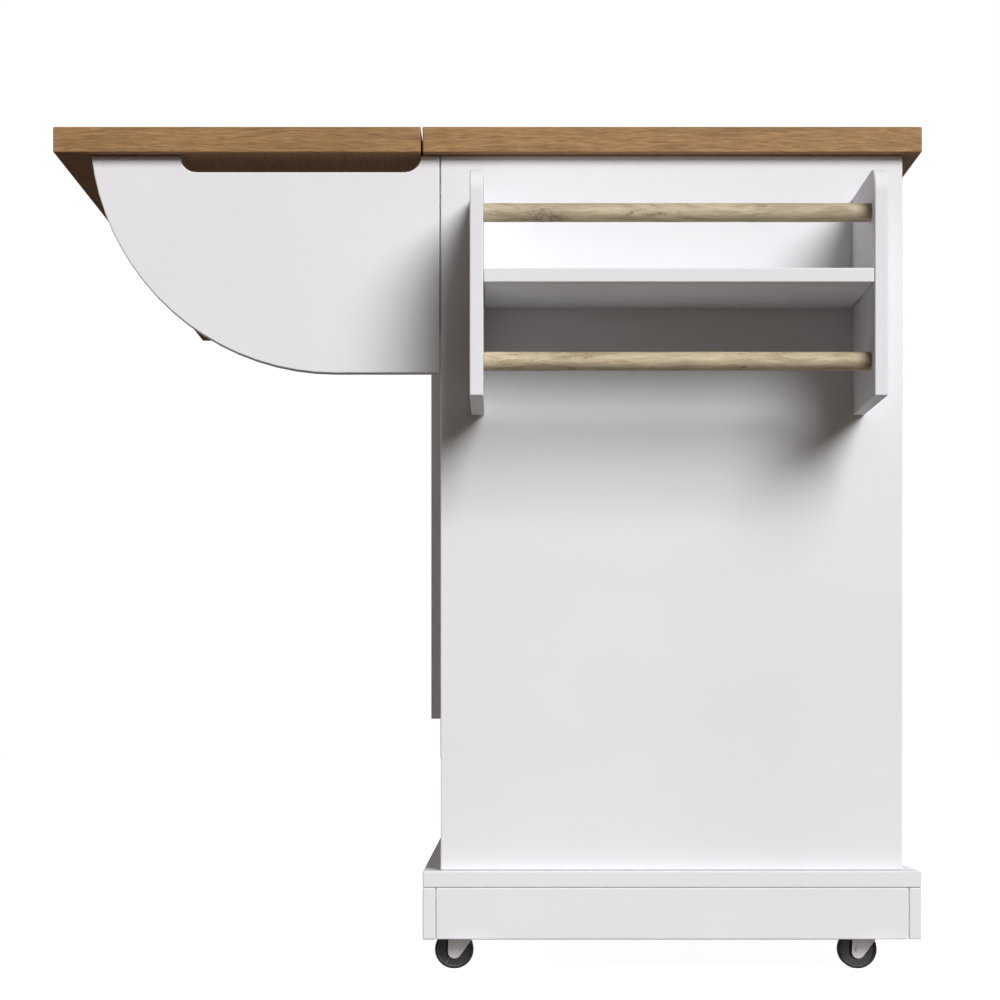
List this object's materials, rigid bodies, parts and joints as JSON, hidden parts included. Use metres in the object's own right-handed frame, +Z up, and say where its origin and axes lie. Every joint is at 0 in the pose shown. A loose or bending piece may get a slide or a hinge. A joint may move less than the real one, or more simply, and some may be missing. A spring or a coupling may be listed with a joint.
{
  "type": "kitchen island cart",
  "caption": "Rolling kitchen island: white cabinet on a plinth and casters, wood-look top with a swing-bracket drop leaf, end rack with rods, doors and drawers.",
  "frame": {"origin": "on the floor under the middle of the cart's bounding box, with the leaf open and the near bracket out", "axes": "+Z up, +Y from the rack end to the plain end, +X towards the doors and drawers, -X towards the drop leaf"},
  "size_m": [0.954, 1.501, 0.92],
  "materials": {
    "oak_laminate": "oak-look laminate with fine streaks",
    "white_paint": "satin white paint on board",
    "rustic_rod": "pale knotty wood",
    "cabinet_inside": "white melamine board",
    "hinge_steel": "zinc-plated steel",
    "handle_nickel": "brushed nickel",
    "fork_steel": "pressed plated steel",
    "wheel_plastic": "black moulded plastic"
  },
  "bodies": {
    "cabinet": {"back_panel": "white_paint", "bracket_far_hinge_fixed": "hinge_steel", "bracket_near_hinge_fixed": "hinge_steel", "caster_batten_far": "white_paint", "caster_batten_near": "white_paint", "caster_far_back_plate": "fork_steel", "caster_far_front_plate": "fork_steel", "caster_near_back_plate": "fork_steel", "caster_near_front_plate": "fork_steel", "divider_far": "white_paint", "divider_near": "white_paint", "end_panel_far": "white_paint", "end_panel_near": "white_paint", "leaf_hinge_far_fixed": "hinge_steel", "leaf_hinge_mid_fixed": "hinge_steel", "leaf_hinge_near_fixed": "hinge_steel", "middle_shelf": "cabinet_inside", "plinth_deck": "white_paint", "plinth_skirt_back": "white_paint", "plinth_skirt_far": "white_paint", "plinth_skirt_front": "white_paint", "plinth_skirt_near": "white_paint", "rack_rod_lower": "rustic_rod", "rack_rod_upper": "rustic_rod", "rack_shelf": "white_paint", "rack_side_back": "white_paint", "rack_side_front": "white_paint", "shelf_far": "cabinet_inside", "shelf_near": "cabinet_inside", "support_wing_hinge_fixed": "hinge_steel", "worktop": "oak_laminate"},
    "leaf": {"drop_leaf": "oak_laminate", "leaf_hinge_near_moving": "hinge_steel", "leaf_hinge_mid_moving": "hinge_steel", "leaf_hinge_far_moving": "hinge_steel"},
    "near_bracket": {"bracket_near": "white_paint", "bracket_near_hinge_moving": "hinge_steel"},
    "far_bracket": {"bracket_far": "white_paint", "bracket_far_hinge_moving": "hinge_steel"},
    "middle_wing": {"support_wing": "white_paint", "support_wing_hinge_moving": "hinge_steel"},
    "near_door": {"door_near": "white_paint", "door_near_handle": "handle_nickel"},
    "far_door": {"door_far": "white_paint", "door_far_handle": "handle_nickel"},
    "upper_drawer": {"drawer_upper_front": "white_paint", "drawer_upper_box": "cabinet_inside", "drawer_upper_handle": "handle_nickel"},
    "lower_drawer": {"drawer_lower_front": "white_paint", "drawer_lower_box": "cabinet_inside", "drawer_lower_handle": "handle_nickel"},
    "caster_near_back_swivel": {"caster_near_back_fork": "fork_steel"},
    "caster_near_back_roller": {"caster_near_back_wheel": "wheel_plastic"},
    "caster_near_front_swivel": {"caster_near_front_fork": "fork_steel"},
    "caster_near_front_roller": {"caster_near_front_wheel": "wheel_plastic"},
    "caster_far_back_swivel": {"caster_far_back_fork": "fork_steel"},
    "caster_far_back_roller": {"caster_far_back_wheel": "wheel_plastic"},
    "caster_far_front_swivel": {"caster_far_front_fork": "fork_steel"},
    "caster_far_front_roller": {"caster_far_front_wheel": "wheel_plastic"}
  },
  "joints": [
    {"name": "leaf_lift", "type": "hinge", "parent": "cabinet", "child": "leaf", "pos_m": [-0.076, 0.0755, 0.8885], "axis": [0, 1, 0], "range_deg": [0, 3]},
    {"name": "near_bracket_fold", "type": "hinge", "parent": "cabinet", "child": "near_bracket", "pos_m": [-0.0595, -0.567, 0.773], "axis": [0, 0, -1], "range_deg": [0, 90]},
    {"name": "far_bracket_open", "type": "hinge", "parent": "cabinet", "child": "far_bracket", "pos_m": [-0.0595, 0.718, 0.773], "axis": [0, 0, -1], "range_deg": [0, 90]},
    {"name": "middle_wing_open", "type": "hinge", "parent": "cabinet", "child": "middle_wing", "pos_m": [-0.0595, -0.164, 0.584], "axis": [0, 0, 1], "range_deg": [0, 90]},
    {"name": "near_door_open", "type": "hinge", "parent": "cabinet", "child": "near_door", "pos_m": [0.449, -0.5655, 0.502], "axis": [0, 0, -1], "range_deg": [0, 105]},
    {"name": "far_door_open", "type": "hinge", "parent": "cabinet", "child": "far_door", "pos_m": [0.449, 0.7165, 0.502], "axis": [0, 0, 1], "range_deg": [0, 105]},
    {"name": "upper_drawer_slide", "type": "slide", "parent": "cabinet", "child": "upper_drawer", "axis": [1, 0, 0], "range_m": [0, 0.33]},
    {"name": "lower_drawer_slide", "type": "slide", "parent": "cabinet", "child": "lower_drawer", "axis": [1, 0, 0], "range_m": [0, 0.33]},
    {"name": "caster_near_back_turn", "type": "hinge", "parent": "cabinet", "child": "caster_near_back_swivel", "pos_m": [-0.0265, -0.5465, 0.0478], "axis": [0, 0, 1], "continuous": true},
    {"name": "caster_near_back_roll", "type": "hinge", "parent": "caster_near_back_swivel", "child": "caster_near_back_roller", "pos_m": [-0.0415, -0.5465, 0.0214], "axis": [0, 1, 0], "continuous": true},
    {"name": "caster_near_front_turn", "type": "hinge", "parent": "cabinet", "child": "caster_near_front_swivel", "pos_m": [0.4195, -0.5465, 0.0478], "axis": [0, 0, 1], "continuous": true},
    {"name": "caster_near_front_roll", "type": "hinge", "parent": "caster_near_front_swivel", "child": "caster_near_front_roller", "pos_m": [0.4045, -0.5465, 0.0214], "axis": [0, 1, 0], "continuous": true},
    {"name": "caster_far_back_turn", "type": "hinge", "parent": "cabinet", "child": "caster_far_back_swivel", "pos_m": [-0.0265, 0.6975, 0.0478], "axis": [0, 0, 1], "continuous": true},
    {"name": "caster_far_back_roll", "type": "hinge", "parent": "caster_far_back_swivel", "child": "caster_far_back_roller", "pos_m": [-0.0415, 0.6975, 0.0214], "axis": [0, 1, 0], "continuous": true},
    {"name": "caster_far_front_turn", "type": "hinge", "parent": "cabinet", "child": "caster_far_front_swivel", "pos_m": [0.4195, 0.6975, 0.0478], "axis": [0, 0, 1], "continuous": true},
    {"name": "caster_far_front_roll", "type": "hinge", "parent": "caster_far_front_swivel", "child": "caster_far_front_roller", "pos_m": [0.4045, 0.6975, 0.0214], "axis": [0, 1, 0], "continuous": true}
  ]
}
